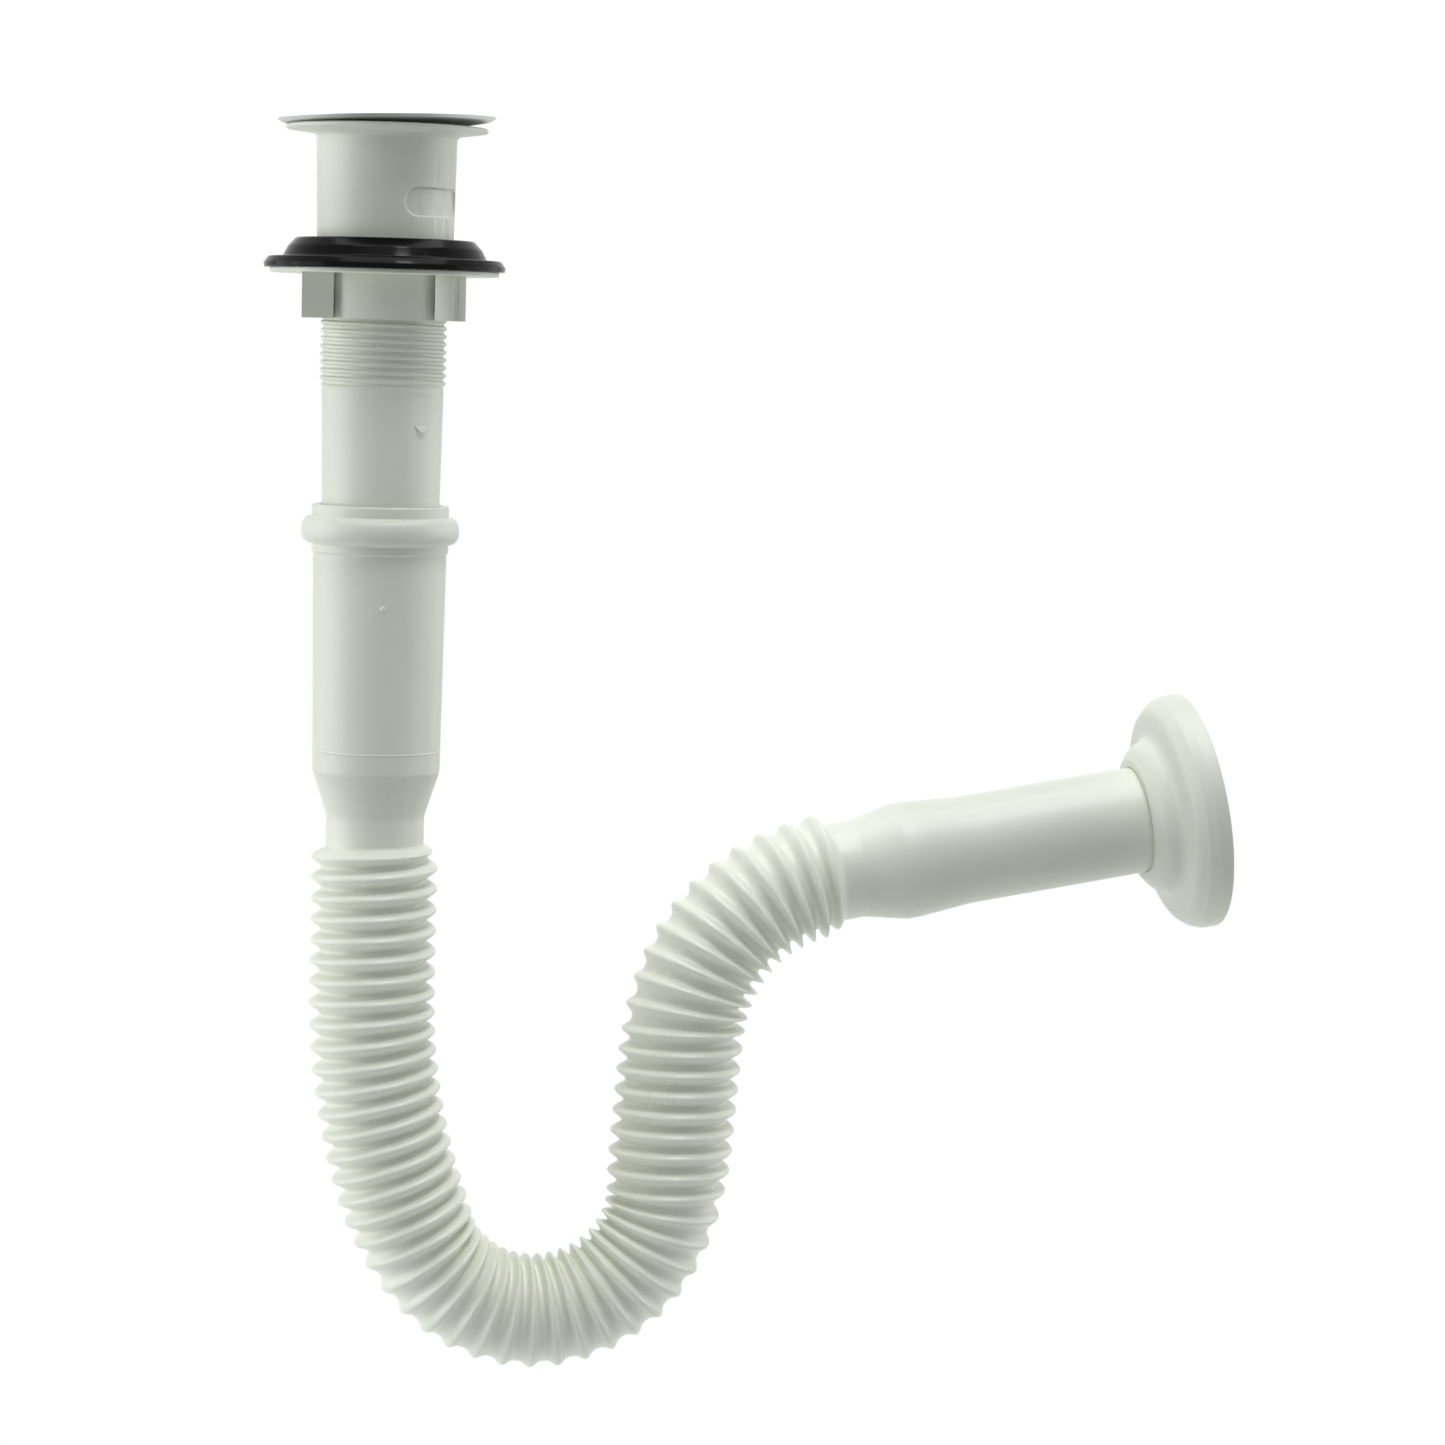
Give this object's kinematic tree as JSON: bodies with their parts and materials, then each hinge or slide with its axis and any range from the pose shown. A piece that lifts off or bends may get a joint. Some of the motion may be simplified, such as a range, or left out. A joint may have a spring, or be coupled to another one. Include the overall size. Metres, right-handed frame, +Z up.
{
  "type": "flexible basin trap",
  "caption": "Basin waste with gasket and back nut, on a corrugated flexible hose bent into a water-seal trap, with an outlet pipe and sliding wall flange.",
  "frame": {"origin": "on the waste's axis, at the underside of the waste's own flange, where it seats on the basin", "axes": "+Z up along the waste's axis, +X towards the wall outlet, the hose is bent in the XZ plane"},
  "size_m": [0.3228, 0.0792, 0.4083],
  "materials": {
    "white_plastic": "moulded polypropylene, softly glossy",
    "hose_plastic": "blow-moulded polyethylene, waxy",
    "dish_steel": "pressed stainless steel, satin",
    "screw_steel": "stainless steel",
    "brass": "turned brass",
    "black_rubber": "moulded rubber, glossy",
    "seal_rubber": "soft rubber"
  },
  "bodies": {
    "waste": {"waste_body": "white_plastic", "threaded_insert": "brass", "dish_seal": "seal_rubber", "centre_screw": "screw_steel", "strainer_dish": "dish_steel"},
    "washer": {"friction_washer": "white_plastic"},
    "nut": {"back_nut": "white_plastic"},
    "gasket": {"gasket": "black_rubber"},
    "seal": {"lip_seal": "seal_rubber"},
    "inlet_hose": {"cuff": "hose_plastic", "hose_leg": "hose_plastic", "trap_bend_inlet": "hose_plastic", "trap_bend_flex": "hose_plastic"},
    "riser": {"trap_bend_outlet": "hose_plastic", "rising_leg": "hose_plastic"},
    "outlet": {"top_bend": "hose_plastic", "outlet_pipe": "hose_plastic"},
    "flange": {"wall_flange": "white_plastic"}
  },
  "joints": [
    {"name": "washer_travel", "type": "slide", "parent": "waste", "child": "washer", "axis": [0, 0, -1], "range_m": [-0.005, 0.021]},
    {"name": "nut_turn", "type": "hinge", "parent": "washer", "child": "nut", "pos_m": [0, 0, -0.05], "axis": [0, 0, -1], "range_deg": [-719, 3020]},
    {"name": "gasket_lift", "type": "slide", "parent": "washer", "child": "gasket", "axis": [0, 0, 1], "range_m": [0, 0.011]},
    {"name": "cuff_pull", "type": "slide", "parent": "waste", "child": "seal", "axis": [0, 0, -1], "range_m": [-0.003, 0.035]},
    {"name": "cuff_swivel", "type": "hinge", "parent": "seal", "child": "inlet_hose", "pos_m": [0, 0, -0.14], "axis": [0, 0, 1], "continuous": true},
    {"name": "trap_flex", "type": "hinge", "parent": "inlet_hose", "child": "riser", "pos_m": [0.06217, 0, -0.3802], "axis": [0, 1, 0], "range_deg": [-12, 18], "deforming": ["trap_bend_flex"]},
    {"name": "outlet_flex", "type": "hinge", "parent": "riser", "child": "outlet", "pos_m": [0.12032, 0, -0.25762], "axis": [0, 1, 0], "range_deg": [-25, 20], "deforming": ["top_bend"]},
    {"name": "flange_slide", "type": "slide", "parent": "outlet", "child": "flange", "axis": [0.9856, 0, 0.1692], "range_m": [-0.058, 0.012]}
  ],
  "couplings": [
    {"joint": "washer_travel", "follows": "nut_turn", "m_per_rad": 0.00039789}
  ]
}
